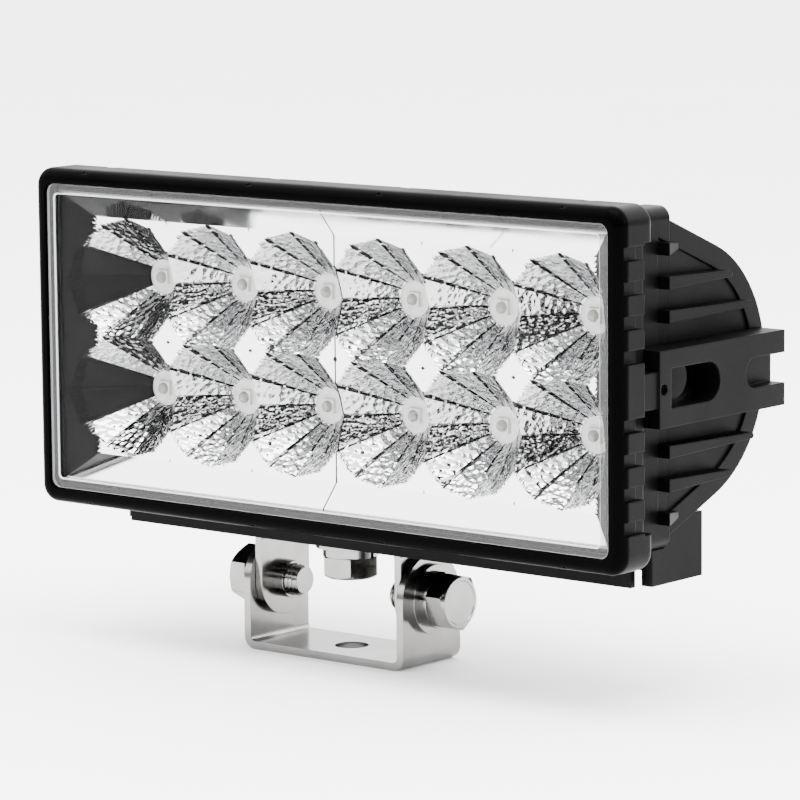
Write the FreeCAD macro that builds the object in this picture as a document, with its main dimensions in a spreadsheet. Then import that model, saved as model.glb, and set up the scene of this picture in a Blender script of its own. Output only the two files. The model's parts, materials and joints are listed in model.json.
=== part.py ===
import FreeCAD, Part
import math
import os
import Sketcher
from FreeCAD import Placement, Rotation, Vector

# LED fog light on a sliding, tilting bracket.  Millimetres, +Z up.
#
# The row frame has its origin at the centre of the bolt hole in the base bracket, on the
# bracket's underside.  The front of the lamp faces -Y and the bar runs along X.
# The pieces of the lamp head are drawn in the lamp's own frame, whose origin is the middle of
# the reflector deck, and are then put in place with lamp_x, lamp_y and lamp_z.

DIMENSIONS = {
    # where the lamp's own origin sits in the row frame
    "lamp_x": 15.3,
    "lamp_y": -23.0,
    "lamp_z": 76.8,
    # bezel, flange and lens stack (depths are positions along the lamp's own Y)
    "face_width": 182.0,
    "face_height": 84.0,
    "face_corner": 4.5,
    "bezel_front": -8.2,
    "parting": -5.2,
    "bezel_round": 2.7,
    "window_width": 174.7,
    "window_height": 76.7,
    "window_corner": 2.6,
    "lens_skirt_width": 176.0,
    "lens_skirt_height": 79.2,
    "lens_skirt_thick": 1.4,
    "lens_front": -7.7,
    "flange_rear": 4.8,
    "flange_round": 2.4,
    "shoulder_width": 174.4,
    "shoulder_rear": 6.2,
    "side_relief": 0.8,
    # core of the casting
    "core_width": 168.0,
    "core_height": 79.6,
    "mouth_width": 171.0,
    "mouth_height": 73.2,
    "mouth_depth": 4.6,
    "well_width": 162.0,
    "well_height": 67.2,
    "groove_width": 174.2,
    "groove_height": 77.0,
    "groove_island_width": 172.2,
    "groove_island_height": 74.8,
    "groove_depth": 1.4,
    "gasket_gap": 0.1,
    "floor_front": 16.0,
    "floor_rear": 20.0,
    # fins: a round back with straight shoulders
    "fin_arc": 31.4,
    "fin_arc_centre": 26.5,
    "fin_shoulder": 22.0,
    "fin_pitch": 13.5,
    "fin_thick": 2.0,
    "end_plate": 2.5,
    "end_recess": 0.6,
    "end_rim": 5.0,
    # cooling notches, ribs and side lugs
    "notch_pitch": 7.8,
    "notch_tall": 3.3,
    "notch_floor": 88.5,
    "rib_tall": 3.3,
    "rib_front": 15.4,
    "rib_thick": 3.0,
    "rib_tip": 1.5,
    "rib_reach_2": 48.0,
    "rib_reach_3": 39.5,
    "rib_reach_4": 22.5,
    "side_centre": -0.8,
    "lug_half": 8.9,
    "lug_front": 6.6,
    "lug_rear": 56.0,
    "lug_slot_half": 4.6,
    "lug_slot_front": 11.0,
    "lug_slot_rear": 30.0,
    "lug_fork_half": 3.6,
    "lug_fork_front": 44.0,
    "lug_web": 3.0,
    # rail under the lamp
    "rail_y": 23.0,
    "skirt_bottom": -48.5,
    "skirt_gap": 18.5,
    "skirt_thick": 1.8,
    "skirt_length": 157.2,
    "hook_bottom": -46.35,
    "hook_thick": 2.0,
    "slot_gap": 9.4,
    "channel_gap": 16.0,
    "channel_top": -38.2,
    "rail_top": -33.0,
    "foot_inner": 79.3,
    "foot_outer": 82.3,
    "foot_front": 15.3,
    "foot_rear": 35.0,
    # reflector
    "cup_pitch_x": 27.0,
    "cup_pitch_z": 28.0,
    "cup_rim": 15.7,
    "cup_throat": 4.6,
    "cup_depth": 13.6,
    "deck_width": 155.8,
    "deck_height": 59.5,
    "rim_front": -4.95,
    "rim_inner_width": 169.2,
    "rim_inner_height": 71.0,
    "reflector_wall": 1.5,
    "module_gap": 0.24,
    # boards and light sources
    "board_front": 13.8,
    "board_thick": 1.6,
    "led_size": 3.5,
    "led_tall": 1.0,
    "dome": 1.45,
    # driver bay
    "bay_width": 60.0,
    "bay_height": 30.0,
    "bay_rear": 29.0,
    "bay_wall": 3.0,
    "driver_width": 52.0,
    "driver_height": 25.0,
    "driver_front": 25.0,
    "driver_thick": 1.6,
    "driver_post": 2.6,
    "driver_screw_r": 1.0,
    "coil_r": 5.6,
    "coil_tall": 4.8,
    "can_r": 3.1,
    "can_tall": 5.6,
    "chip_wide": 5.0,
    "chip_long": 4.0,
    "chip_tall": 1.5,
    "lead_r": 0.8,
    # gland
    "gland_bore": 6.05,
    "gland_af": 16.0,
    "cable_bore": 3.1,
    # brackets
    "axis_height": 16.5,
    "sheet_metal": 2.0,
    "base_outer": 51.0,
    "base_width": 22.0,
    "bend_outer": 3.2,
    "bend_inner": 1.2,
    "base_hole": 4.2,
    "yoke_outer": 46.7,
    "yoke_width": 18.0,
    # M8 hardware
    "bolt_r": 3.95,
    "bolt_head_af": 13.0,
    "bolt_head_tall": 5.3,
    "nut_thread_r": 4.0,
    "clearance_r": 4.4,
    "washer_r": 8.6,
    "washer_thick": 1.6,
    "spring_r": 6.9,
    "spring_thick": 2.2,
    "side_bolt_length": 14.3,
    "clinch_r": 4.7,
    "clinch_length": 3.0,
    "slot_nut_size": 15.6,
    "slot_nut_thick": 4.4,
    # small screws
    "case_screw_r": 1.2,
    "case_screw_z": 40.1,
    "case_screw_head_r": 1.85,
    "case_screw_head_tall": 1.7,
    "case_screw_seat": 1.5,
    "case_screw_channel": 2.7,
    "board_screw_r": 1.5,
}

SQRT3 = 3 ** 0.5
FIN_COUNT_EACH_SIDE = 5
SIDES = (-1, 1)

doc = FreeCAD.newDocument("fog_light")
sheet = doc.addObject("Spreadsheet::Sheet", "dims")
for line, (alias, value) in enumerate(DIMENSIONS.items(), start=1):
    sheet.set(f"A{line}", alias)
    sheet.set(f"B{line}", str(value))
    sheet.setAlias(f"B{line}", alias)
doc.recompute()

sub_parts = []


def size(alias):
    return DIMENSIONS[alias]


# ---- drawing helpers: every length is an expression on the sheet ------------------------------

def bind(thing, **expressions):
    """Set properties of an object from expressions, such as Length="dims.fin_thick"."""
    for name, expression in expressions.items():
        thing.setExpression(name, str(expression))
    return thing


def put(thing, x="0", y="0", z="0"):
    """Place an object at a point whose coordinates are expressions."""
    for axis, expression in zip("xyz", (x, y, z)):
        thing.setExpression(f"Placement.Base.{axis}", str(expression))
    return thing


def block(x, y, z):
    """A box between pairs of expressions, one pair for each axis."""
    made = doc.addObject("Part::Box", "Block")
    bind(made, Length=f"({x[1]}) - ({x[0]})", Width=f"({y[1]}) - ({y[0]})",
         Height=f"({z[1]}) - ({z[0]})")
    return put(made, x[0], y[0], z[0])


def centred_block(width, height, front, rear):
    """A box across the lamp's front, centred on its middle, between two depths."""
    return block((f"-({width}) / 2", f"({width}) / 2"), (front, rear),
                 (f"-({height}) / 2", f"({height}) / 2"))


TURN = {
    "x": Rotation(Vector(0, 1, 0), 90),
    "y": Rotation(Vector(1, 0, 0), -90),
    "z": Rotation(),
    "-y": Rotation(Vector(1, 0, 0), 90),
    "-x": Rotation(Vector(0, 1, 0), -90),
    "-z": Rotation(Vector(1, 0, 0), 180),
}


def rod(radius, length, along, x="0", y="0", z="0"):
    """A cylinder from a point along an axis."""
    made = doc.addObject("Part::Cylinder", "Rod")
    made.Placement = Placement(Vector(), TURN[along])
    bind(made, Radius=radius, Height=length)
    return put(made, x, y, z)


def cone(radius_1, radius_2, length, along, x="0", y="0", z="0"):
    made = doc.addObject("Part::Cone", "Cone")
    made.Placement = Placement(Vector(), TURN[along])
    bind(made, Radius1=radius_1, Radius2=radius_2, Height=length)
    return put(made, x, y, z)


def hexagon(across_flats, length, along, x="0", y="0", z="0", turned=0):
    """A hexagonal prism from a point along an axis, turned about that axis in degrees."""
    made = doc.addObject("Part::Prism", "Hexagon")
    made.Polygon = 6
    spin = Rotation(Vector(0, 0, 1), turned)
    made.Placement = Placement(Vector(), TURN[along].multiply(spin))
    bind(made, Circumradius=f"({across_flats}) / {SQRT3}", Height=length)
    return put(made, x, y, z)


def fuse(*shapes):
    made = doc.addObject("Part::MultiFuse", "Joined")
    made.Shapes = list(shapes)
    made.Refine = True
    return made


def cut(base, *tools):
    made = doc.addObject("Part::Cut", "Trimmed")
    made.Base = base
    made.Tool = tools[0] if len(tools) == 1 else group(*tools)
    return made


def overlap(*shapes):
    made = doc.addObject("Part::MultiCommon", "Shared")
    made.Shapes = list(shapes)
    return made


def group(*shapes):
    made = doc.addObject("Part::Compound", "Group")
    made.Links = list(shapes)
    return made


def finish(thing, label, in_lamp=True):
    """Name a finished sub-part and set it in its place."""
    thing.Label = label
    if in_lamp:
        put(thing, "dims.lamp_x", "dims.lamp_y", "dims.lamp_z")
    sub_parts.append(thing)
    return thing


def origin_plane(body, role):
    return next(item for item in body.Origin.OriginFeatures if item.Role == role)


def rectangle_sketch(body, role, width, height, offset="0"):
    """A rectangle on one of the body's own planes, centred on the plane's vertical axis."""
    sketch = body.newObject("Sketcher::SketchObject", "Rectangle")
    sketch.AttachmentSupport = [(origin_plane(body, role), "")]
    sketch.MapMode = "FlatFace"
    sketch.setExpression("AttachmentOffset.Base.z", offset)
    corners = [Vector(-1, -1), Vector(1, -1), Vector(1, 1), Vector(-1, 1)]
    for k in range(4):
        sketch.addGeometry(Part.LineSegment(corners[k], corners[(k + 1) % 4]), False)
    for k in range(4):
        sketch.addConstraint(Sketcher.Constraint("Coincident", k, 2, (k + 1) % 4, 1))
        if k > 0:
            level = "Horizontal" if k % 2 == 0 else "Vertical"
            sketch.addConstraint(Sketcher.Constraint(level, k))
    sketch.addConstraint(Sketcher.Constraint("Symmetric", 0, 1, 0, 2, -2))
    wide = sketch.addConstraint(Sketcher.Constraint("DistanceX", 0, 1, 0, 2, 2.0))
    tall = sketch.addConstraint(Sketcher.Constraint("DistanceY", 1, 1, 1, 2, 2.0))
    low = sketch.addConstraint(Sketcher.Constraint("DistanceY", 0, 1, -1, 1, 1.0))
    sketch.setExpression(f"Constraints[{wide}]", width)
    sketch.setExpression(f"Constraints[{tall}]", height)
    sketch.setExpression(f"Constraints[{low}]", f"({height}) / 2")
    return sketch


def pad(body, sketch, length, backwards=False):
    made = body.newObject("PartDesign::Pad", "Pad")
    made.Profile = sketch
    made.Reversed = backwards
    made.setExpression("Length", length)
    return made


def pocket(body, sketch, length, backwards=False):
    made = body.newObject("PartDesign::Pocket", "Pocket")
    made.Profile = sketch
    made.Reversed = backwards
    made.setExpression("Length", length)
    return made


def fillet(body, radius, chosen):
    """Round the edges of the body's tip that the function 'chosen' accepts."""
    doc.recompute()
    tip = body.Tip
    names = [f"Edge{k}" for k, edge in enumerate(tip.Shape.Edges, start=1) if chosen(edge)]
    made = body.newObject("PartDesign::Fillet", "Fillet")
    made.Base = (tip, names)
    made.setExpression("Radius", radius)
    return made


def runs_along(edge, axis):
    """True for a straight edge along one axis, given as a unit vector."""
    if edge.Curve.TypeId != "Part::GeomLine":
        return False
    return abs(edge.Curve.Direction.dot(axis)) > 0.999


X_AXIS, Y_AXIS, Z_AXIS = Vector(1, 0, 0), Vector(0, 1, 0), Vector(0, 0, 1)


def rounded_plate(label, width, height, front, rear, corner, front_round=None, rear_round=None):
    """A plate across the lamp's front with rounded corners and, optionally, rounded rims."""
    body = doc.addObject("PartDesign::Body", label)
    # the XZ plane's own normal is -Y, so a depth along Y is a negative offset
    sketch = rectangle_sketch(body, "XZ_Plane", width, height, f"-({front})")
    pad(body, sketch, f"({rear}) - ({front})", backwards=True)
    fillet(body, corner, lambda edge: runs_along(edge, Y_AXIS))
    for radius, depth in ((front_round, front), (rear_round, rear)):
        if radius:
            level = float(body.evalExpression(depth))
            fillet(body, radius, lambda edge: on_level(edge, level))
    return body


def on_level(edge, y):
    """True for an edge that lies in the plane at this depth."""
    return all(abs(vertex.Point.y - y) < 1e-4 for vertex in edge.Vertexes)


# ---- the casting ------------------------------------------------------------------------------

def fin_outline():
    """The closed side outline of a fin, drawn on the YZ plane."""
    sketch = doc.addObject("Sketcher::SketchObject", "FinOutline")
    sketch.Placement = Placement(Vector(), Rotation(Vector(1, 1, 1), 120))
    top = size("core_height") / 2
    slope = math.radians(size("fin_shoulder"))
    reach = size("fin_arc_centre") + size("fin_arc") * math.sin(slope)
    rise = size("fin_arc") * math.cos(slope)
    shoulder = reach - (top - rise) / math.tan(slope)
    points = [Vector(0, -top), Vector(0, top), Vector(shoulder, top), Vector(reach, rise),
              Vector(reach, -rise), Vector(shoulder, -top)]
    line = {}
    for name, start, end in (("front", 0, 1), ("top", 1, 2), ("upper", 2, 3), ("lower", 4, 5),
                             ("bottom", 5, 0)):
        line[name] = sketch.addGeometry(Part.LineSegment(points[start], points[end]), False)
    centre = Vector(size("fin_arc_centre"), 0)
    half_turn = math.pi / 2 - slope
    circle = Part.Circle(centre, Z_AXIS, size("fin_arc"))
    back = sketch.addGeometry(Part.ArcOfCircle(circle, -half_turn, half_turn), False)
    link = Sketcher.Constraint
    sketch.addConstraint(link("Coincident", line["front"], 2, line["top"], 1))
    sketch.addConstraint(link("Coincident", line["top"], 2, line["upper"], 1))
    sketch.addConstraint(link("Tangent", line["upper"], 2, back, 2))
    sketch.addConstraint(link("Tangent", back, 1, line["lower"], 1))
    sketch.addConstraint(link("Coincident", line["lower"], 2, line["bottom"], 1))
    sketch.addConstraint(link("Coincident", line["bottom"], 2, line["front"], 1))
    sketch.addConstraint(link("Horizontal", line["top"]))
    sketch.addConstraint(link("Horizontal", line["bottom"]))
    sketch.addConstraint(link("Symmetric", line["front"], 1, line["front"], 2, -1))
    sketch.addConstraint(link("PointOnObject", line["front"], 1, -2))
    sketch.addConstraint(link("PointOnObject", back, 3, -1))
    measures = (
        (link("DistanceY", line["front"], 1, line["front"], 2, 2 * top), "dims.core_height"),
        (link("DistanceX", -1, 1, back, 3, centre.x), "dims.fin_arc_centre"),
        (link("Radius", back, size("fin_arc")), "dims.fin_arc"),
        (link("Angle", line["upper"], -slope), "-dims.fin_shoulder"),
    )
    for constraint, expression in measures:
        index = sketch.addConstraint(constraint)
        sketch.setExpression(f"Constraints[{index}]", expression)
    return sketch


def across(sketch, start, length):
    """Extrude an outline of the YZ plane along X from a starting position."""
    made = doc.addObject("Part::Extrusion", "Across")
    made.Base = sketch
    made.DirMode = "Custom"
    made.Dir = X_AXIS
    made.Solid = True
    bind(made, LengthFwd=length)
    return put(made, start, "0", "0")


def ribs(side):
    """The stiffening ribs above and below the lug on one end plate, tapering to the rear."""
    made = []
    for count in (2, 3, 4):
        for way in SIDES:
            level = f"dims.side_centre + {way * count} * dims.notch_pitch"
            reach = f"dims.rib_reach_{count}"
            wedge = doc.addObject("Part::Wedge", "Rib")
            root = "dims.core_width / 2 - 1"
            crest = "dims.core_width / 2 + dims.rib_tall"
            low, high = (root, crest) if side > 0 else (f"-({crest})", f"-({root})")
            tip_low, tip_high = low, high
            if count == 4:
                tip_high = f"{root} + 1.6" if side > 0 else high
                tip_low = low if side > 0 else f"-({root} + 1.6)"
            bind(wedge, Xmin=low, Xmax=high, X2min=tip_low, X2max=tip_high,
                 Ymin="dims.rib_front", Ymax=reach,
                 Zmin=f"{level} - dims.rib_thick / 2", Zmax=f"{level} + dims.rib_thick / 2",
                 Z2min=f"{level} - dims.rib_tip / 2", Z2max=f"{level} + dims.rib_tip / 2")
            if count < 4:
                wedge = fuse(wedge, rod("dims.rib_tip / 2", "dims.rib_tall + 1", "x", low, reach, level))
            made.append(wedge)
    return made


def side_span(side, inner, outer):
    """A pair of X expressions between two distances from the middle, on one side."""
    return (inner, outer) if side > 0 else (f"-({outer})", f"-({inner})")


def lug(side):
    """The mounting lug: a slotted arm that ends in an open fork, over a thin web."""
    centre, half, slot = "dims.side_centre", "dims.lug_half", "dims.lug_slot_half"
    root, crest = "dims.core_width / 2 - 0.7", "dims.face_width / 2"
    arm = block(side_span(side, root, crest), ("dims.lug_front", "dims.lug_rear"),
                (f"{centre} - {half}", f"{centre} + {half}"))
    bridge = block(side_span(side, root, f"{crest} - 0.5"), ("dims.side_relief", "dims.lug_slot_front + 2"),
                   (f"{centre} - {slot} + 0.4", f"{centre} + {slot} - 0.4"))
    fork = "dims.lug_fork_half"
    step = side_span(side, "dims.core_width / 2 + dims.lug_web", f"{crest} + 1")
    fork_cut = block(step, ("dims.lug_fork_front", "dims.lug_rear + 2"),
                     (f"{centre} - {fork}", f"{centre} + {fork}"))
    start = step[0] if side > 0 else f"-({crest} + 1)"
    fork_end = rod(fork, "5.5", "x", start, "dims.lug_fork_front", centre)
    behind = block(side_span(side, root, f"{crest} + 1"),
                   ("dims.fin_arc_centre + dims.fin_arc + 0.5", "dims.lug_rear + 6"),
                   (f"{centre} - {fork} - 0.01", f"{centre} + {fork} + 0.01"))
    return [cut(arm, fork_cut, fork_end, behind), bridge]


def lug_slots():
    """The long slots in the lugs; behind the core they also open through the end plates."""
    radius, centre = "dims.lug_slot_half", "dims.side_centre"
    plate = "dims.core_width / 2"
    made = []
    for side in SIDES:
        lug_only = side_span(side, f"{plate} - dims.end_recess", "dims.face_width / 2 + 1")
        through = side_span(side, f"{plate} - dims.end_plate - 1", f"{plate} + 1")
        made.append(block(lug_only, ("dims.lug_slot_front", f"dims.lug_slot_rear - {radius}"),
                          (f"{centre} - {radius}", f"{centre} + {radius}")))
        made.append(block(through, ("dims.floor_rear + 1", f"dims.lug_slot_rear - {radius}"),
                          (f"{centre} - {radius}", f"{centre} + {radius}")))
        length = "dims.face_width / 2 + 2 - dims.core_width / 2 + dims.end_plate"
        made.append(rod(radius, length, "x", through[0] if side > 0 else lug_only[0],
                        f"dims.lug_slot_rear - {radius}", centre))
    return made


def behind_floor(shape, *others):
    """The part of a shape behind the casting's floor, clear of the rail and of other pieces."""
    front = block(("-100", "100"), ("-20", "dims.floor_rear"), ("-60", "60"))
    rail_room = block(("-dims.foot_outer", "dims.foot_outer"), ("dims.floor_rear - 1", "dims.foot_rear"),
                      ("-60", "dims.rail_top"))
    return cut(shape, front, rail_room, *others)


def end_recesses(outline):
    """The shallow panel sunk into each end face, inside a plain rim."""
    smaller = doc.addObject("Part::Offset2D", "RecessOutline")
    smaller.Source = outline
    smaller.setExpression("Value", "-dims.end_rim")
    keep = block(("-100", "100"), ("dims.rib_front", "70"), ("-60", "60"))
    starts = ("dims.core_width / 2 - dims.end_recess", "-dims.core_width / 2 - 1")
    return [overlap(across(smaller, start, "dims.end_recess + 1"), keep) for start in starts]


def fins(outline, bay):
    """The round-backed fins, each a solid of its own; the middle one leaves room for the gland."""
    gland_room = rod("dims.fin_pitch - dims.fin_thick / 2 - 0.1", "60", "y", "0", "dims.floor_rear", "0")
    made = []
    for k in range(-FIN_COUNT_EACH_SIDE, FIN_COUNT_EACH_SIDE + 1):
        plate = across(outline, f"{k} * dims.fin_pitch - dims.fin_thick / 2", "dims.fin_thick")
        others = (bay, gland_room) if k == 0 else (bay,)
        made.append(behind_floor(plate, *others))
    return group(*made)


def end_plates(outline, recesses):
    """The thicker plates that close the stack of fins."""
    starts = ("dims.core_width / 2 - dims.end_plate", "-dims.core_width / 2")
    return group(*[behind_floor(across(outline, start, "dims.end_plate"), *recesses, *lug_slots())
                   for start in starts])


def rail_channel():
    """The room that the slot nut runs in, where it reaches up into the core."""
    return block(("-dims.foot_inner", "dims.foot_inner"),
                 ("dims.rail_y - dims.channel_gap / 2", "dims.rail_y + dims.channel_gap / 2"),
                 ("-dims.core_height / 2 - 1", "dims.channel_top"))


def rail(driver_holes):
    """The slotted rail under the lamp: bars with plain sections, so that the slot stays open."""
    mid, inner = "dims.rail_y", "dims.foot_inner"
    reach = "dims.skirt_gap / 2 + dims.skirt_thick"
    under_core = "-dims.core_height / 2"
    entry = f"{inner} - dims.slot_nut_size - 0.4"
    bars = [block((f"-{inner}", inner), ("dims.floor_rear", f"{mid} + {reach}"),
                  ("dims.channel_top", "dims.rail_top"))]
    for way, top, end in ((-1, under_core, "dims.skirt_length / 2"), (1, "dims.channel_top", inner)):
        # each pair of depths runs away from the slot, from the inner one to the outer one
        def depths(near, far):
            low, high = (near, far) if way > 0 else (far, near)
            return (f"{mid} + {way} * ({low})", f"{mid} + {way} * ({high})")
        bars.append(block((f"-({end})", end), depths("dims.skirt_gap / 2", reach),
                          ("dims.skirt_bottom", top)))
        bars.append(block((f"-{inner}", entry), depths("dims.channel_gap / 2", "dims.skirt_gap / 2"),
                          ("dims.hook_bottom", top)))
        bars.append(block((f"-{inner}", entry), depths("dims.slot_gap / 2", "dims.channel_gap / 2"),
                          ("dims.hook_bottom", "dims.hook_bottom + dims.hook_thick")))
    feet = []
    for side in SIDES:
        foot = block(side_span(side, inner, "dims.foot_outer"), ("dims.foot_front", "dims.foot_rear"),
                     ("dims.skirt_bottom + 0.2", "dims.rail_top"))
        core_room = block(("-100", "100"), ("0", "dims.floor_rear"), (under_core, "60"))
        feet.append(cut(foot, core_room))
    return group(*[cut(bar, *driver_holes) for bar in bars], *feet)


CASE_SCREW_BAYS = (-5.5, -1.5, 1.5, 5.5)


def case_screw_rods(radius, front, rear):
    made = []
    for k in CASE_SCREW_BAYS:
        for way in SIDES:
            made.append(rod(radius, f"({rear}) - ({front})", "y", f"{k} * dims.fin_pitch", front,
                            f"{way} * dims.case_screw_z"))
    return made


def notches(front, rear):
    """The cooling notches through both sides of the flange."""
    made = []
    for side in SIDES:
        for count in (1, 2, 3, 4):
            for way in SIDES:
                level = f"{way * count} * dims.notch_pitch"
                made.append(block(side_span(side, "dims.notch_floor", "dims.face_width / 2 + 1"),
                                  (front, rear),
                                  (f"{level} - dims.notch_tall / 2", f"{level} + dims.notch_tall / 2")))
    return made


BOARD_SCREW_SPOTS = ((36.0, 0.0), (74.0, 0.0), (54.0, 27.5), (54.0, -27.5))
BREATHER_SPOT = (-47.25, -12.0)
DRIVER_SCREW_SPOTS = [(x, z) for x in (-23.0, 23.0) for z in (-9.5, 9.5)]


def make_housing():
    """The casting.  It is one piece; it is drawn in simple parts that meet face to face."""
    flange = rounded_plate("Flange", "dims.face_width", "dims.face_height", "dims.parting",
                           "dims.flange_rear", "dims.face_corner", rear_round="dims.flange_round")
    reliefs = [block(side_span(side, "dims.shoulder_width / 2", "dims.face_width / 2 + 1"),
                     ("dims.side_relief", "dims.flange_rear + 1"), ("-33.4", "33.4")) for side in SIDES]
    flange_ring = cut(flange, *reliefs, *notches("dims.parting - 1", "dims.flange_rear + 1"))
    shoulder = rounded_plate("Shoulder", "dims.shoulder_width", "dims.core_height", "dims.parting",
                             "dims.shoulder_rear", "3", rear_round="1.2")
    core = rounded_plate("Core", "dims.core_width", "dims.core_height", "dims.parting",
                         "dims.floor_rear", "3")
    mouth = centred_block("dims.mouth_width", "dims.mouth_height", "dims.parting - 1", "dims.mouth_depth")
    well = centred_block("dims.well_width", "dims.well_height", "dims.mouth_depth - 1", "dims.floor_front")
    bay_way = centred_block("dims.bay_width", "dims.bay_height", "dims.floor_front - 1",
                            "dims.floor_rear + 1")
    groove_ends = ("dims.parting - 1", "dims.parting + dims.groove_depth")
    groove = cut(centred_block("dims.groove_width", "dims.groove_height", *groove_ends),
                 centred_block("dims.groove_island_width", "dims.groove_island_height", *groove_ends))
    holes = [rod("dims.board_screw_r + 0.02", "3.3", "y", f"{side * x}", "dims.floor_front", f"{z}")
             for side in SIDES for x, z in BOARD_SCREW_SPOTS]
    screw_channels = case_screw_rods("dims.case_screw_channel", "dims.case_screw_seat", "64")
    screw_holes = case_screw_rods("dims.case_screw_r + 0.15", "dims.parting - 1",
                                  "dims.case_screw_seat + 1")
    breather_hole = rod("3.05", "6", "y", f"{BREATHER_SPOT[0]}", "dims.floor_front - 1",
                        f"{BREATHER_SPOT[1]}")
    outline = fin_outline()
    recesses = end_recesses(outline)
    tub = cut(fuse(flange_ring, shoulder, core), mouth, well, bay_way, groove, breather_hole, rail_channel(),
              *holes, *screw_channels, *screw_holes, *recesses)
    finish(tub, "housing")

    bay_block = block(("-dims.bay_width / 2 - dims.bay_wall", "dims.bay_width / 2 + dims.bay_wall"),
                      ("dims.floor_rear", "dims.bay_rear + dims.bay_wall"),
                      ("-dims.bay_height / 2 - dims.bay_wall", "dims.bay_height / 2 + dims.bay_wall"))
    bay_room = centred_block("dims.bay_width", "dims.bay_height", "dims.floor_rear - 1", "dims.bay_rear")
    gland_hole = rod("dims.gland_bore", "6", "y", "0", "dims.bay_rear - 1", "0")
    post_front = "dims.driver_front + dims.driver_thick"
    posts = [rod("dims.driver_post", "dims.bay_rear - dims.driver_front", "y", f"{x}", post_front, f"{z}")
             for x, z in DRIVER_SCREW_SPOTS]
    post_holes = [rod("dims.driver_screw_r + 0.02", "3", "y", f"{x}", f"{post_front} - 0.1", f"{z}")
                  for x, z in DRIVER_SCREW_SPOTS]
    finish(cut(bay_block, cut(bay_room, *posts), gland_hole, *post_holes), "driver_housing")

    finish(fins(outline, bay_block), "fins")
    plates = end_plates(outline, recesses)
    finish(plates, "end_plates")
    finish(group(*[cut(rib, core_sides(recesses), plate_sides(outline, recesses)) for side in SIDES
                   for rib in ribs(side)]), "side_ribs")
    dimple_starts = ("dims.face_width / 2 - 1.1", "-dims.face_width / 2 - 0.9")
    dimples = [rod("1.3", "2", "x", start, "8.2", "dims.side_centre") for start in dimple_starts]
    lugs = [cut(fuse(*lug(side)), flange_ring, shoulder, core_sides(recesses), plate_sides(outline, recesses),
                *lug_slots(), *dimples) for side in SIDES]
    finish(group(*lugs), "side_lugs")
    finish(rail(screw_channels), "rail")


def core_sides(recesses):
    """The core up to its end faces, with the sunk panels open, to trim what stands on them."""
    return cut(block(("-dims.core_width / 2", "dims.core_width / 2"), ("-10", "dims.floor_rear"),
                     ("-dims.core_height / 2", "dims.core_height / 2")), *recesses)


def plate_sides(outline, recesses):
    """The whole fin stack up to its end faces, to trim what stands on them."""
    return cut(across(outline, "-dims.core_width / 2", "dims.core_width"), *recesses)


# ---- bezel, lens and gasket --------------------------------------------------------------------

def make_bezel():
    body = rounded_plate("Bezel", "dims.face_width", "dims.face_height", "dims.bezel_front",
                         "dims.parting", "dims.face_corner", front_round="dims.bezel_round")
    opening = rounded_plate("BezelOpening", "dims.window_width", "dims.window_height",
                            "dims.bezel_front - 1", "dims.parting + 1", "dims.window_corner")
    recess = rounded_plate("BezelRecess", "dims.lens_skirt_width + 0.4", "dims.lens_skirt_height + 0.4",
                           "dims.parting - dims.lens_skirt_thick - 0.1", "dims.parting + 1", "3")
    bosses = case_screw_rods("1.75", "dims.parting - 2.4", "dims.parting + 2")
    screw_holes = case_screw_rods("dims.case_screw_r + 0.02", "dims.parting - 2.3", "dims.parting + 1")
    recesses = notches("dims.parting - 1.4", "dims.parting + 1")
    finish(cut(body, opening, cut(recess, *bosses), *screw_holes, *recesses), "front_bezel")
    finish(bezel_screws(), "bezel_screws")


def bezel_screws():
    made = []
    for k in CASE_SCREW_BAYS:
        for way in SIDES:
            x, z = f"{k} * dims.fin_pitch", f"{way} * dims.case_screw_z"
            shank = rod("dims.case_screw_r", "dims.case_screw_seat - dims.parting + 2.1", "-y", x,
                        "dims.case_screw_seat + 0.5", z)
            head = rod("dims.case_screw_head_r", "dims.case_screw_head_tall", "y", x,
                       "dims.case_screw_seat", z)
            socket = hexagon("1.6", "2", "y", x, "dims.case_screw_seat + 0.7", z)
            made.append(cut(fuse(shank, head), socket))
    return group(*made)


def make_lens():
    skirt = rounded_plate("LensSkirt", "dims.lens_skirt_width", "dims.lens_skirt_height",
                          "dims.parting - dims.lens_skirt_thick", "dims.parting", "2.8")
    raised = rounded_plate("LensFace", "dims.window_width - 0.4", "dims.window_height - 0.4",
                           "dims.lens_front", "dims.parting - 0.4", "2.4", front_round="0.6")
    scallops = case_screw_rods("1.95", "dims.parting - 3", "dims.parting + 1")
    finish(cut(fuse(skirt, raised), *scallops), "lens")
    outer = centred_block("dims.groove_width - 2 * dims.gasket_gap",
                          "dims.groove_height - 2 * dims.gasket_gap",
                          "dims.parting", "dims.parting + dims.groove_depth - 0.05")
    inner = centred_block("dims.groove_island_width + 2 * dims.gasket_gap",
                          "dims.groove_island_height + 2 * dims.gasket_gap",
                          "dims.parting - 1", "dims.parting + 2")
    finish(cut(outer, inner), "lens_gasket")


# ---- reflectors --------------------------------------------------------------------------------

def cup_centres(side):
    return [(f"{side} * {k} * dims.cup_pitch_x", f"{way} * dims.cup_pitch_z / 2")
            for k in (0.5, 1.5, 2.5) for way in SIDES]


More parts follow.
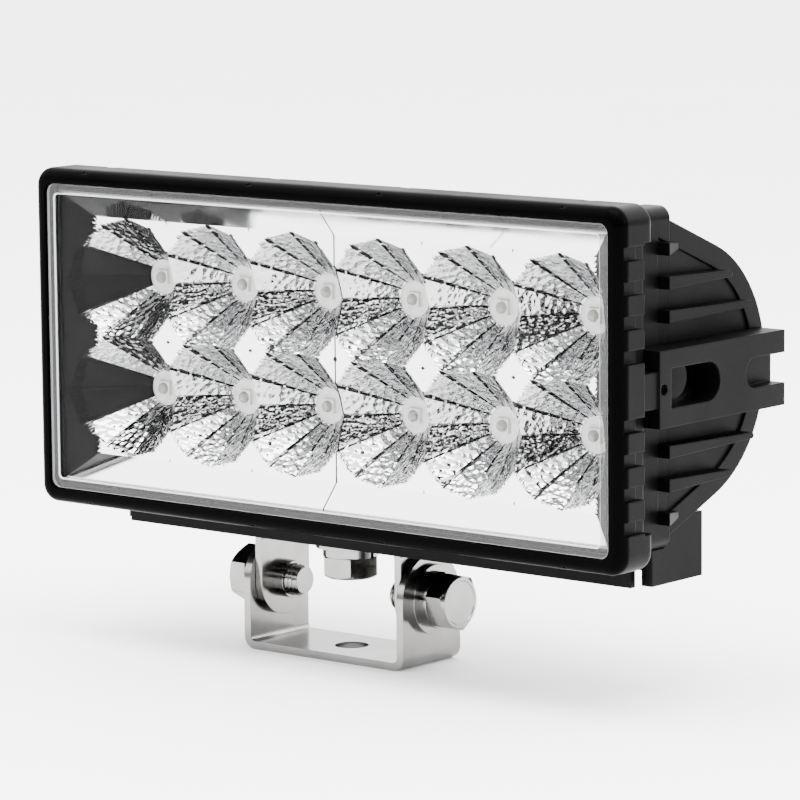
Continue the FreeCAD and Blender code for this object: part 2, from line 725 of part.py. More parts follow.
def make_reflector(side, label):
    wall, outer_x = "dims.reflector_wall", "dims.mouth_width / 2 - 0.3"
    outer_z = "dims.mouth_height / 2 - 0.3"
    seam = "dims.module_gap / 2"
    frame = block(side_span(side, seam, outer_x), ("dims.rim_front", wall), (f"-({outer_z})", outer_z))
    slope = "(dims.cup_rim - dims.cup_throat) / dims.cup_depth"
    shells = [cone(f"dims.cup_rim + {wall}", f"dims.cup_throat + {wall}", "dims.cup_depth", "y", x, "0", z)
              for x, z in cup_centres(side)]
    front_zone = block(side_span(side, seam, outer_x), ("-1", "dims.mouth_depth - 0.3"),
                       (f"-({outer_z})", outer_z))
    deep_zone = block(side_span(side, seam, "dims.well_width / 2 - 0.3"), ("-1", "dims.cup_depth + 1"),
                      ("-dims.well_height / 2 + 0.3", "dims.well_height / 2 - 0.3"))
    moulding = fuse(frame, overlap(fuse(*shells), fuse(front_zone, deep_zone)))
    tray = doc.addObject("Part::Wedge", "DeckHollow")
    bind(tray, Ymin="dims.rim_front - 0.01", Ymax="0",
         Xmin="-dims.rim_inner_width / 2", Xmax="dims.rim_inner_width / 2",
         Zmin="-dims.rim_inner_height / 2", Zmax="dims.rim_inner_height / 2",
         X2min="-dims.deck_width / 2", X2max="dims.deck_width / 2",
         Z2min="-dims.deck_height / 2", Z2max="dims.deck_height / 2")
    cups = [cone(f"dims.cup_rim + 2 * {slope}", f"dims.cup_throat - 1 * {slope}", "dims.cup_depth + 3", "y",
                 x, "-2", z) for x, z in cup_centres(side)]
    finish(cut(moulding, tray, *cups), label)


# ---- boards, light sources and driver ----------------------------------------------------------

def make_board(side, name):
    edge = "dims.well_width / 2 - 0.6"
    plate = block(side_span(side, "0.5", edge), ("dims.board_front", "dims.board_front + dims.board_thick"),
                  ("-dims.well_height / 2 + 0.6", "dims.well_height / 2 - 0.6"))
    holes = [rod("dims.board_screw_r + 0.15", "4", "y", f"{side * x}", "dims.board_front - 1", f"{z}")
             for x, z in BOARD_SCREW_SPOTS]
    finish(cut(plate, *holes), f"led_board_{name}")

    pad_front = "dims.board_front + dims.board_thick"
    sheet_pad = block(side_span(side, "1", "dims.well_width / 2 - 1.5"), (pad_front, "dims.floor_front"),
                      ("-dims.well_height / 2 + 1.5", "dims.well_height / 2 - 1.5"))
    window = block(side_span(side, "0", "dims.bay_width / 2"), ("dims.board_front", "dims.floor_front + 1"),
                   ("-dims.bay_height / 2", "dims.bay_height / 2"))
    pad_holes = [rod("dims.board_screw_r + 0.4", "6", "y", f"{side * x}", "dims.board_front - 1", f"{z}")
                 for x, z in BOARD_SCREW_SPOTS]
    if side < 0:
        x, z = BREATHER_SPOT
        pad_holes.append(rod("3.2", "6", "y", f"{x}", "dims.board_front - 1", f"{z}"))
    finish(cut(sheet_pad, window, *pad_holes), f"thermal_pad_{name}")

    half = "dims.led_size / 2"
    front = "dims.board_front - dims.led_tall"
    bases = [block((f"{x} - {half}", f"{x} + {half}"), (front, "dims.board_front"),
                   (f"{z} - {half}", f"{z} + {half}")) for x, z in cup_centres(side)]
    finish(group(*bases), f"led_packages_{name}")
    domes = []
    for x, z in cup_centres(side):
        made = doc.addObject("Part::Sphere", "Dome")
        made.Placement = Placement(Vector(), TURN["-y"])
        made.Angle1 = 0
        bind(made, Radius="dims.dome")
        domes.append(put(made, x, front, z))
    finish(group(*domes), f"led_domes_{name}")


def make_board_screws():
    made = []
    for side in SIDES:
        for x, z in BOARD_SCREW_SPOTS:
            shank = rod("dims.board_screw_r", "5.2", "y", f"{side * x}", "dims.board_front - 0.2", f"{z}")
            head = rod("2.75", "1.8", "-y", f"{side * x}", "dims.board_front", f"{z}")
            slot_ends = ("dims.board_front - 2", "dims.board_front - 0.9")
            cross = [block((f"{side * x} - {a}", f"{side * x} + {a}"), slot_ends,
                           (f"{z} - {b}", f"{z} + {b}")) for a, b in ((1.5, 0.35), (0.35, 1.5))]
            made.append(cut(fuse(shank, head), *cross))
    finish(group(*made), "board_screws")
    links = [block(("-3", "3"), ("dims.board_front - 0.6", "dims.board_front"), (f"{z} - 0.8", f"{z} + 0.8"))
             for z in (-2.5, 2.5)]
    finish(group(*links), "board_links")


def make_driver():
    """The constant-current driver in the bay behind the boards; its parts face the boards."""
    front = "dims.driver_front"
    half_x, half_z = "dims.driver_width / 2", "dims.driver_height / 2"
    plate = block((f"-{half_x}", half_x), (front, f"{front} + dims.driver_thick"), (f"-{half_z}", half_z))
    holes = [rod("dims.driver_screw_r + 0.15", "4", "y", f"{x}", f"{front} - 1", f"{z}")
             for x, z in DRIVER_SCREW_SPOTS]
    finish(cut(plate, *holes), "driver_board")
    screws = [fuse(rod("dims.driver_screw_r", "4.1", "y", f"{x}", f"{front} - 0.2", f"{z}"),
                   rod("1.9", "1.3", "-y", f"{x}", front, f"{z}")) for x, z in DRIVER_SCREW_SPOTS]
    finish(group(*screws), "driver_screws")
    coil = cut(rod("dims.coil_r", "dims.coil_tall", "-y", "-13", front, "0"),
               rod("1.9", "1.2", "-y", "-13", f"{front} - dims.coil_tall + 1", "0"))
    finish(coil, "driver_inductor")
    cans = [rod("dims.can_r", "dims.can_tall", "-y", "15", front, z) for z in ("6", "-6")]
    finish(group(*cans), "driver_capacitors")
    chips = [block((f"{x} - dims.chip_wide / 2", f"{x} + dims.chip_wide / 2"),
                   (f"{front} - dims.chip_tall", front),
                   (f"{z} - dims.chip_long / 2", f"{z} + dims.chip_long / 2"))
             for x, z in ((0.0, 6.0), (0.0, -6.0), (5.5, 0.0))]
    finish(group(*chips), "driver_chips")
    back = "dims.board_front + dims.board_thick"
    leads = [rod("dims.lead_r", f"{front} - ({back})", "y", "23", back, z) for z in ("-2", "2")]
    finish(group(*leads), "driver_leads")


def make_gland():
    wall = "dims.bay_rear + dims.bay_wall"
    thread = rod("dims.gland_bore - 0.03", "dims.bay_wall", "y", "0", "dims.bay_rear", "0")
    flange = hexagon("dims.gland_af", "4", "y", "0", wall, "0")
    barrel = rod("5.9", "6", "y", "0", f"{wall} + 4", "0")
    bore = rod("3.6", "16", "y", "0", "dims.bay_rear - 1", "0")
    seat = rod("4.7", "7", "y", "0", f"{wall} + 5", "0")
    finish(cut(fuse(thread, flange, barrel), bore, seat), "gland_body")
    ring = cut(rod("4.65", "5.4", "y", "0", f"{wall} + 5", "0"),
               rod("dims.cable_bore", "9", "y", "0", f"{wall} + 3", "0"))
    finish(ring, "gland_seal")
    cap = overlap(hexagon("dims.gland_af", "10", "y", "0", f"{wall} + 4.3", "0"),
                  cone("13.5", "6.6", "11", "y", "0", f"{wall} + 4.2", "0"))
    barrel_room = rod("5.95", "6.5", "y", "0", f"{wall} + 4", "0")
    cable_hole = rod("3.7", "14", "y", "0", f"{wall} + 4", "0")
    finish(cut(cap, barrel_room, cable_hole), "gland_nut")
    x, z = (f"{value}" for value in BREATHER_SPOT)
    plug = fuse(rod("3.0", "4", "y", x, "dims.floor_front", z),
                hexagon("8.6", "3", "y", x, "dims.floor_rear", z),
                rod("3.6", "2", "y", x, "dims.floor_rear + 3", z))
    finish(cut(plug, rod("1.2", "3", "y", x, "dims.floor_front - 0.5", z)), "breather_valve")


# ---- brackets, drawn straight in the row frame ---------------------------------------------------

def channel_section(label, outer, width, height, opens_up):
    """A bent strip with two upright ears, its web on the XY plane."""
    body = doc.addObject("PartDesign::Body", label)
    pad(body, rectangle_sketch(body, "XY_Plane", outer, width), height, backwards=not opens_up)
    inner = rectangle_sketch(body, "XY_Plane", f"({outer}) - 2 * dims.sheet_metal", f"({width}) + 2",
                             "dims.sheet_metal" if opens_up else "-dims.sheet_metal")
    pocket(body, inner, height, backwards=opens_up)
    web = body.evalExpression("dims.sheet_metal")
    for radius, level in (("dims.bend_outer", 0.0), ("dims.bend_inner", float(web))):
        fillet(body, radius, lambda edge: runs_along(edge, Y_AXIS)
               and abs(abs(edge.Vertexes[0].Point.z) - level) < 1e-4)
    return body


def ear_outline(radius, outer, far):
    """The room a strip with round-ended ears fills: a cylinder at the pivot and a block beyond it."""
    round_end = rod(radius, outer, "x", f"-({outer}) / 2", "0", "dims.axis_height")
    low, high = ("-1", "dims.axis_height") if far == "below" else ("dims.axis_height", "60")
    straight = block((f"-({outer}) / 2", f"({outer}) / 2"), (f"-({radius})", radius), (low, high))
    return fuse(round_end, straight)


def make_base_bracket():
    strip = channel_section("BaseStrip", "dims.base_outer", "dims.base_width", "40", True)
    shape = overlap(strip, ear_outline("dims.base_width / 2", "dims.base_outer + 2", "below"))
    pivot = rod("dims.clearance_r", "dims.base_outer + 4", "x", "-dims.base_outer / 2 - 2", "0",
                "dims.axis_height")
    hole = rod("dims.base_hole", "6", "z", "0", "0", "-2")
    finish(cut(shape, pivot, hole), "lower_bracket", in_lamp=False)


YOKE_TOP = "dims.lamp_z + dims.hook_bottom - 0.05"


def make_yoke():
    strip = channel_section("YokeStrip", "dims.yoke_outer", "dims.yoke_width", "45", False)
    put(strip, z=YOKE_TOP)
    shape = overlap(strip, ear_outline("dims.yoke_width / 2", "dims.yoke_outer + 2", "above"))
    pivot = rod("dims.nut_thread_r + 0.4", "dims.yoke_outer + 4", "x", "-dims.yoke_outer / 2 - 2", "0",
                "dims.axis_height")
    hole = rod("dims.clearance_r", "6", "z", "0", "0", f"{YOKE_TOP} - 4")
    finish(cut(shape, pivot, hole), "upper_bracket", in_lamp=False)
    nuts = []
    for side in SIDES:
        along = "x" if side > 0 else "-x"
        inner = "dims.yoke_outer / 2 - dims.sheet_metal"
        collar = rod("dims.clinch_r", "dims.clinch_length", along,
                     f"{side} * ({inner} - dims.clinch_length)", "0", "dims.axis_height")
        shank = rod("dims.nut_thread_r + 0.38", "dims.sheet_metal + 0.1", along,
                    f"{side} * ({inner} - 0.1)", "0", "dims.axis_height")
        thread = rod("dims.nut_thread_r", "9", along, f"{side} * ({inner} - 5)", "0", "dims.axis_height")
        nuts.append(cut(fuse(collar, shank), thread))
    finish(group(*nuts), "clinch_nuts", in_lamp=False)


def hex_head(along, x, y, z, turned=0):
    """A hexagon bolt head whose free face is chamfered to a circle."""
    prism = hexagon("dims.bolt_head_af", "dims.bolt_head_tall", along, x, y, z, turned)
    dressing = cone("dims.bolt_head_af * 1.1", "dims.bolt_head_af * 0.47", "dims.bolt_head_tall",
                    along, x, y, z)
    return overlap(prism, dressing)


def bolt(shank_length, along, against, x, y, z, turned=0):
    """A hexagon bolt: the head starts at the point, the shank runs the other way."""
    shank = rod("dims.bolt_r", f"({shank_length}) - 0.8", against, x, y, z)
    tip_at = {"x": (f"({x}) + ({shank_length}) - 0.8", y, z),
              "-x": (f"({x}) - ({shank_length}) + 0.8", y, z),
              "z": (x, y, f"({z}) + ({shank_length}) - 0.8")}[against]
    tip = cone("dims.bolt_r", "dims.bolt_r - 0.7", "0.8", against, *tip_at)
    return fuse(hex_head(along, x, y, z, turned), shank, tip)


def washer(outer, inner, thick, along, x, y, z):
    """A flat ring from a point along an axis."""
    return cut(rod(outer, thick, along, x, y, z), rod(inner, thick, along, x, y, z))


def spring_washer(along, x, y, z, gap):
    """A thick ring with one narrow cut, which the block 'gap' makes."""
    ring = washer("dims.spring_r", "dims.bolt_r + 0.25", "dims.spring_thick", along, x, y, z)
    return cut(ring, gap)


def make_side_bolts():
    """The two pivot bolts, each with a flat and a spring washer under its head."""
    bolts, washers, springs = [], [], []
    level = "dims.axis_height"
    for side in SIDES:
        out, back = ("x", "-x") if side > 0 else ("-x", "x")
        face = "dims.base_outer / 2"
        washers.append(washer("dims.washer_r", "dims.bolt_r + 0.15", "dims.washer_thick", out,
                              f"{side} * {face}", "0", level))
        seat = f"{side} * ({face} + dims.washer_thick)"
        gap = block((f"{seat} - 4", f"{seat} + 4"), ("-0.6", "0.6"), (level, f"{level} + 9"))
        springs.append(spring_washer(out, seat, "0", level, gap))
        start = f"{side} * ({face} + dims.washer_thick + dims.spring_thick)"
        bolts.append(bolt("dims.side_bolt_length", out, back, start, "0", level,
                          turned=15 if side > 0 else 0))
    finish(group(*bolts), "side_bolts", in_lamp=False)
    finish(group(*washers), "side_flat_washers", in_lamp=False)
    finish(group(*springs), "side_spring_washers", in_lamp=False)


def make_clamp_bolt():
    """The bolt through the yoke's web, which pulls the slot nut down on the rail's hooks."""
    flat_low = f"{YOKE_TOP} - dims.sheet_metal - dims.washer_thick"
    finish(washer("dims.washer_r", "dims.bolt_r + 0.15", "dims.washer_thick", "z", "0", "0", flat_low),
           "clamp_flat_washer", in_lamp=False)
    seat = f"{flat_low} - dims.spring_thick"
    gap = block(("2", "9"), ("-0.6", "0.6"), (f"{seat} - 1", f"{seat} + 4"))
    finish(spring_washer("z", "0", "0", seat, gap), "clamp_spring_washer", in_lamp=False)
    nut_low = "dims.lamp_z + dims.hook_bottom + dims.hook_thick + 0.03"
    length = f"({nut_low}) + dims.slot_nut_thick + 0.9 - ({seat})"
    finish(bolt(length, "-z", "z", "0", "0", seat, turned=9), "clamp_bolt", in_lamp=False)
    half = "dims.slot_nut_size / 2"
    nut = block((f"-{half}", half), (f"-{half}", half), (nut_low, f"{nut_low} + dims.slot_nut_thick"))
    thread = rod("dims.nut_thread_r - 0.03", "9", "z", "0", "0", f"{nut_low} - 2")
    finish(cut(nut, thread), "slot_nut", in_lamp=False)


make_housing()
make_bezel()
make_lens()
for side, name in ((-1, "left"), (1, "right")):
    make_reflector(side, f"reflector_{name}")
    make_board(side, name)
make_board_screws()
make_driver()
make_gland()
make_base_bracket()
make_yoke()
make_side_bolts()
make_clamp_bolt()

doc.recompute()
for item in doc.Objects:
    if "Invalid" in item.State or "Error" in item.State:
        raise RuntimeError(f"{item.Name} ({item.Label}) did not compute: {item.State}")
os.makedirs("parts", exist_ok=True)
for thing in sub_parts:
    if thing.Shape.isNull() or not thing.Shape.isValid():
        raise RuntimeError(f"{thing.Label} has no valid shape")
    thing.Shape.exportStep(f"parts/{thing.Label}.step")
    box = thing.Shape.BoundBox
    print(f"{thing.Label:22s} solids {len(thing.Shape.Solids):2d}  volume {thing.Shape.Volume:10.1f}"
          f"  x {box.XMin:7.2f} {box.XMax:7.2f}  y {box.YMin:7.2f} {box.YMax:7.2f}"
          f"  z {box.ZMin:7.2f} {box.ZMax:7.2f}")
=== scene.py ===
import json
import math

import bmesh
import bpy
from mathutils import Matrix, Vector, noise


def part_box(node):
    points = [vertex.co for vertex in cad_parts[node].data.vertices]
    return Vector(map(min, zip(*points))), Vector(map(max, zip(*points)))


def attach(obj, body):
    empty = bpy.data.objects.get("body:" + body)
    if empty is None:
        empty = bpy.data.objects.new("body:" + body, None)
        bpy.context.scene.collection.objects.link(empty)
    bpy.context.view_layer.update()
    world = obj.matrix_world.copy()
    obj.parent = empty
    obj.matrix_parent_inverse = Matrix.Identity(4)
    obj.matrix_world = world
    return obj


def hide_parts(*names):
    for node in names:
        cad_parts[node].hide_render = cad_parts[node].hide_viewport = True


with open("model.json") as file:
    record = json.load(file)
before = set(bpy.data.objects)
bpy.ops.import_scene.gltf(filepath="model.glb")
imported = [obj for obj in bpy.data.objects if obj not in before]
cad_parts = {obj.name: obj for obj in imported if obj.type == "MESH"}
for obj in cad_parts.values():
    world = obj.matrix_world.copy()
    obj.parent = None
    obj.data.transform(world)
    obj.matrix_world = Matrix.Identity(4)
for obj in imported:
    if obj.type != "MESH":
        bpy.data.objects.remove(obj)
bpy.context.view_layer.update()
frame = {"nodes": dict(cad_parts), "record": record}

MM = 0.001

# ---- places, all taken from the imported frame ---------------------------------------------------

REFLECTORS = {-1: "reflector_left", 1: "reflector_right"}
left_low, left_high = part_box("reflector_left")
right_low, right_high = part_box("reflector_right")

LAMP_X = (left_low.x + right_high.x) / 2
LAMP_Z = (left_low.z + right_high.z) / 2
RIM_Y = left_low.y
DECK_Y = RIM_Y + 4.95 * MM


def lamp(x, y, z):
    """A point of the lamp's own frame, in millimetres, as a point of the row frame in metres."""
    return Vector((LAMP_X + x * MM, DECK_Y + y * MM, LAMP_Z + z * MM))


# ---- node helpers ------------------------------------------------------------------------------

class Nodes:
    """A small wrapper to build one procedural material."""

    def __init__(self, name):
        self.material = bpy.data.materials.new(name)
        self.material.use_nodes = True
        self.tree = self.material.node_tree
        self.tree.nodes.clear()
        self.output = self.add("ShaderNodeOutputMaterial")
        self.shader = self.add("ShaderNodeBsdfPrincipled")
        self.tree.links.new(self.shader.outputs[0], self.output.inputs["Surface"])
        self.place = self.add("ShaderNodeTexCoord").outputs["Object"]

    def add(self, kind, **settings):
        node = self.tree.nodes.new(kind)
        for key, value in settings.items():
            setattr(node, key, value)
        return node

    def join(self, source, target):
        self.tree.links.new(source, target)

    def set(self, **sockets):
        for name, value in sockets.items():
            self.shader.inputs[name.replace("_", " ")].default_value = value
        return self

    def noise(self, scale, detail=3.0, rough=0.5, stretch=None):
        node = self.add("ShaderNodeTexNoise")
        node.inputs["Scale"].default_value = scale
        node.inputs["Detail"].default_value = detail
        node.inputs["Roughness"].default_value = rough
        self.join(self.stretched(stretch), node.inputs["Vector"])
        return node.outputs["Fac"]

    def cells(self, scale):
        node = self.add("ShaderNodeTexVoronoi")
        node.inputs["Scale"].default_value = scale
        self.join(self.place, node.inputs["Vector"])
        return node.outputs["Distance"]

    def stretched(self, stretch):
        if stretch is None:
            return self.place
        node = self.add("ShaderNodeMapping")
        node.inputs["Scale"].default_value = stretch
        self.join(self.place, node.inputs["Vector"])
        return node.outputs[0]

    def spread(self, source, low, high, start=0.35, end=0.65):
        """Map a noise value onto a range of numbers."""
        node = self.add("ShaderNodeMapRange")
        node.inputs["From Min"].default_value = start
        node.inputs["From Max"].default_value = end
        node.inputs["To Min"].default_value = low
        node.inputs["To Max"].default_value = high
        self.join(source, node.inputs["Value"])
        return node.outputs[0]

    def colours(self, source, *stops):
        node = self.add("ShaderNodeValToRGB")
        ramp = node.color_ramp
        while len(ramp.elements) < len(stops):
            ramp.elements.new(0.5)
        for element, (position, colour) in zip(ramp.elements, stops):
            element.position = position
            element.color = (*colour, 1.0)
        self.join(source, node.inputs[0])
        return node.outputs[0]

    def bump(self, height, strength, distance, below=None):
        node = self.add("ShaderNodeBump")
        node.inputs["Strength"].default_value = strength
        node.inputs["Distance"].default_value = distance
        self.join(height, node.inputs["Height"])
        if below is not None:
            self.join(below, node.inputs["Normal"])
        return node.outputs[0]

    def edges(self, radius):
        """A normal that is softened where two faces meet, as a moulded or cast edge is."""
        node = self.add("ShaderNodeBevel", samples=4)
        node.inputs["Radius"].default_value = radius
        return node.outputs[0]

    def finish(self, colour=None, roughness=None, normal=None):
        for socket, source in (("Base Color", colour), ("Roughness", roughness), ("Normal", normal)):
            if source is not None:
                self.join(source, self.shader.inputs[socket])
        return self.material


# ---- materials ---------------------------------------------------------------------------------

def powder_coat(name, colour, low, high, ior, grain=1400.0, depth=0.00004, edge=0.0005):
    """Black powder coat on a casting: a fine orange peel, dull patches and worn edges."""
    made = Nodes(name)
    patches = made.noise(38.0, detail=5.0)
    peel = made.noise(grain, detail=2.0)
    tone = made.colours(patches, (0.3, [c * 0.7 for c in colour]), (0.7, [c * 1.4 for c in colour]))
    made.set(Metallic=0.0, IOR=ior)
    normal = made.bump(peel, 0.35, depth, below=made.edges(edge))
    return made.finish(tone, made.spread(patches, low, high), normal)


def steel(name, tone, low, high, grain, direction, edge=0.00025):
    """Stainless steel with a rolled grain along one direction, light scratches and dull patches."""
    made = Nodes(name)
    rolled = made.noise(grain, detail=4.0, rough=0.6, stretch=direction)
    patches = made.noise(120.0, detail=4.0)
    shade = made.colours(patches, (0.3, [c * 0.8 for c in tone]), (0.72, tone))
    made.set(Metallic=1.0)
    normal = made.bump(rolled, 0.14, 0.00002, below=made.edges(edge))
    return made.finish(shade, made.spread(rolled, low, high), normal)


def moulded(name, colour, low, high, metallic=0.0, scale=600.0, depth=0.00003, **more):
    """A moulded or potted surface with slight mottling."""
    made = Nodes(name)
    mottle = made.noise(scale, detail=3.0)
    tone = made.colours(mottle, (0.3, [c * 0.82 for c in colour]), (0.7, colour))
    made.set(Metallic=metallic, **more)
    return made.finish(tone, made.spread(mottle, low, high), made.bump(mottle, 0.3, depth))


def metallised():
    """Vacuum-metallised cups: bright, with crisp pebbles about 1.3 mm across, at about half the deck's tone,
    a painted shade in the deep cups.
    """
    made = Nodes("metallised_cups")
    pebbles = made.cells(620.0)
    haze = made.noise(90.0, detail=4.0)
    # the same plating as the deck at about half its tone: painted shade
    tone = made.colours(haze, (0.3, (0.40, 0.405, 0.41)), (0.7, (0.56, 0.565, 0.57)))
    made.set(Metallic=1.0)
    normal = made.bump(pebbles, 0.8, 0.0003)
    return made.finish(tone, made.spread(haze, 0.02, 0.06), normal)


def metallised_flat():
    """The smooth deck and walls of the reflector."""
    made = Nodes("metallised_deck")
    haze = made.noise(60.0, detail=5.0)
    tone = made.colours(haze, (0.3, (0.90, 0.905, 0.91)), (0.7, (0.97, 0.97, 0.975)))
    made.set(Metallic=1.0)
    return made.finish(tone, made.spread(haze, 0.04, 0.10), made.bump(haze, 0.05, 0.0001))


def clear_plastic(name, colour, alpha, low, high):
    """A part of the clear cover, with faint moulding flow. A higher alpha is more frosted."""
    made = Nodes(name)
    haze = made.noise(45.0, detail=4.0)
    tone = made.colours(haze, (0.3, [c * 0.9 for c in colour]), (0.7, colour))
    made.set(Alpha=alpha, IOR=1.58)
    return made.finish(tone, made.spread(haze, low, high), made.bump(haze, 0.08, 0.0001))


ROLLED_X = (1.0, 12.0, 12.0)

CASTING = powder_coat("black_casting", (0.0009, 0.0009, 0.001), 0.34, 0.5, 1.12)
BEZEL = powder_coat("black_bezel", (0.0004, 0.0004, 0.0005), 0.28, 0.38, 1.05, grain=1900.0, depth=0.00003)
SHEET = steel("rolled_stainless", (0.25, 0.246, 0.238), 0.13, 0.25, 500.0, ROLLED_X)
BOLT = steel("formed_stainless", (0.24, 0.237, 0.23), 0.10, 0.2, 900.0, None)
SCREW = steel("screw_stainless", (0.6, 0.6, 0.6), 0.28, 0.42, 1200.0, None)
NYLON = moulded("black_nylon", (0.02, 0.02, 0.02), 0.4, 0.55)
RUBBER = moulded("silicone_rubber", (0.03, 0.03, 0.03), 0.6, 0.8, scale=900.0)
BOARD = moulded("white_solder_mask", (0.82, 0.83, 0.80), 0.35, 0.5)
PAD = moulded("thermal_pad", (0.33, 0.40, 0.48), 0.7, 0.85, scale=1200.0)
CERAMIC = moulded("led_ceramic", (0.80, 0.79, 0.74), 0.4, 0.5, scale=3000.0)
DOME = moulded("led_silicone", (0.36, 0.355, 0.33), 0.05, 0.12, scale=2500.0)
GREEN = moulded("green_board", (0.02, 0.16, 0.06), 0.3, 0.45)
FERRITE = moulded("ferrite", (0.05, 0.05, 0.055), 0.5, 0.7, scale=1500.0)
CAN = moulded("can_aluminium", (0.75, 0.75, 0.77), 0.25, 0.38, metallic=1.0)
CHIP = moulded("chip_epoxy", (0.018, 0.018, 0.018), 0.5, 0.6, scale=2000.0)
WIRE = moulded("wire_red", (0.4, 0.02, 0.02), 0.4, 0.5, scale=1500.0)
COPPER = moulded("tinned_copper", (0.72, 0.45, 0.27), 0.25, 0.4, metallic=1.0, scale=1500.0)
# Near-black paint for painted dark reflections on the reflector's end walls and end facets, and for painted
# shade along facet creases and in the gap between the reflectors.
PAINTED_SHADE_AND_REFLECTION = moulded("painted_shade_and_dark_reflection", (0.001, 0.001, 0.0012), 0.4, 0.5, scale=900.0, IOR=1.16)
MIRROR = metallised()
MIRROR_FLAT = metallised_flat()
COVER = clear_plastic("clear_polycarbonate", (0.02, 0.02, 0.02), 0.04, 0.02, 0.06)
COVER_BORDER = clear_plastic("cover_border", (0.03, 0.03, 0.032), 0.45, 0.10, 0.2)
# Pale, nearly opaque bands on the cover's rounded rim and inner step: a painted highlight.
COVER_RIM_HIGHLIGHT = clear_plastic("cover_rim_painted_highlight", (0.80, 0.81, 0.82), 0.6, 0.15, 0.25)

BY_SLOT = {
    "black_cast": CASTING, "bezel_black": BEZEL, "clear_cover": COVER, "metallised": MIRROR,
    "seal_rubber": RUBBER, "board": BOARD, "led_ceramic": CERAMIC, "led_dome": DOME,
    "thermal_pad": PAD, "screw_steel": SCREW, "green_board": GREEN, "ferrite": FERRITE, "can": CAN,
    "chip": CHIP, "lead_red": WIRE, "copper": COPPER, "gland_nylon": NYLON,
    "stainless_sheet": SHEET, "stainless_bolt": BOLT,
}

for entry in frame["record"]["subparts"]:
    node = frame["nodes"][entry["node"]]
    node.data.materials.clear()
    node.data.materials.append(BY_SLOT[entry["material_slot"]])


# ---- mesh helpers ------------------------------------------------------------------------------

def make_piece(bm, name, body, replaced, slot, *materials):
    """Turn a finished mesh into a piece that rides on a body and stands for one CAD node."""
    bmesh.ops.remove_doubles(bm, verts=bm.verts, dist=0.00001)
    mesh = bpy.data.meshes.new(name)
    bm.to_mesh(mesh)
    bm.free()
    made = bpy.data.objects.new(name, mesh)
    bpy.context.scene.collection.objects.link(made)
    for material in materials:
        made.data.materials.append(material)
    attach(made, body)
    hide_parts(replaced)
    return made


def bridge(bm, one, other, index=0, smooth=False):
    """Quads between two closed loops of the same length."""
    for k in range(len(one)):
        following = (k + 1) % len(one)
        face = bm.faces.new((one[k], one[following], other[following], other[k]))
        face.material_index = index
        face.smooth = smooth


# ---- reflectors: faceted, pebbled cups ---------------------------------------------------------

PITCH_X, PITCH_Z = 27.0, 28.0
CUP_RIM, CUP_THROAT, CUP_DEPTH = 15.7, 4.6, 13.6
DECK_X, DECK_Z = 77.9, 29.75
RIM_X, RIM_Z = 84.6, 35.5
RIM_DEPTH = -4.95
OUTER_X, OUTER_Z = 85.1, 36.2
FACETS = 12
WEDGE = 2 * math.pi / FACETS
FACET_BULGE = 0.12
CREASE, CREASE_HALF = 0.28, math.radians(1.3)
CUP_LIP = -0.4
STEP_OUT = (CUP_RIM - CUP_THROAT) / CUP_DEPTH
PEBBLE = 0.05
PEBBLES_PER_MM = 1.5
SEAM = 0.22
SEAM_EDGE = 3.0
RAYS, RINGS = 144, 34
RAYS_PER_FACET = RAYS // FACETS
# The third finish is near-black paint: painted dark reflection and painted shade on plating that is bright
# all over.
MIRROR_CUP, MIRROR_DECK, DARK = range(3)
END_FACETS = math.radians(30)
SNAP_MARGIN = 2
# how far and in what dashes the painted crease shade runs along facet edges
WIDE_EDGE_RINGS = 18
DASH, DASH_GAP = 5, 1


def facet_radius(dx, dz):
    """How far out a point lies, measured so that each flat facet is one value across."""
    off = math.atan2(dz, dx) % WEDGE - WEDGE / 2
    flat = math.hypot(dx, dz) * math.cos(off) / math.cos(WEDGE / 2)
    crease = CREASE if abs(off) > WEDGE / 2 - CREASE_HALF else 0.0
    return flat - FACET_BULGE * math.cos(math.pi * off / WEDGE) - crease


def tray_depth(x, z):
    """The depth of the reflector without its cups: a flat deck inside four slanted walls."""
    side = (abs(x) - DECK_X) / (RIM_X - DECK_X)
    level = (abs(z) - DECK_Z) / (RIM_Z - DECK_Z)
    return RIM_DEPTH * min(1.0, max(0.0, side, level))


def pebble(x, z, depth):
    """The stipple pressed into the cups, in millimetres."""
    return PEBBLE * noise.noise(Vector((x, z, depth)) * PEBBLES_PER_MM)


def surface_depth(x, z):
    """The depth at a point, and whether it lies in a cup."""
    tray = tray_depth(x, z)
    column = min(2, int(abs(x) // PITCH_X))
    centre_x = math.copysign((column + 0.5) * PITCH_X, x)
    centre_z = math.copysign(PITCH_Z / 2, z)
    cone = min(CUP_DEPTH, (CUP_RIM - facet_radius(x - centre_x, z - centre_z)) / STEP_OUT)
    if cone <= tray or cone < CUP_LIP or abs(z) > DECK_Z:
        return tray, False
    return cone + pebble(x, z, cone), True


def ring_places(start, far, cx, dx, dz):
    """How far each ring is from the cup's axis, with rings moved onto the cup's rim and the deck's edges."""
    places = [start + (far - start) * j / RINGS for j in range(RINGS + 1)]
    edges = [CUP_RIM / facet_radius(dx, dz)]
    if cx * dx > 0:
        edges.append((DECK_X - abs(cx)) / max(abs(dx), 1e-6))
    for edge in sorted(edges):
        nearest = min(range(RINGS + 1), key=lambda j: abs(places[j] - edge))
        if SNAP_MARGIN < nearest < RINGS - SNAP_MARGIN:
            places[nearest] = edge
    return places


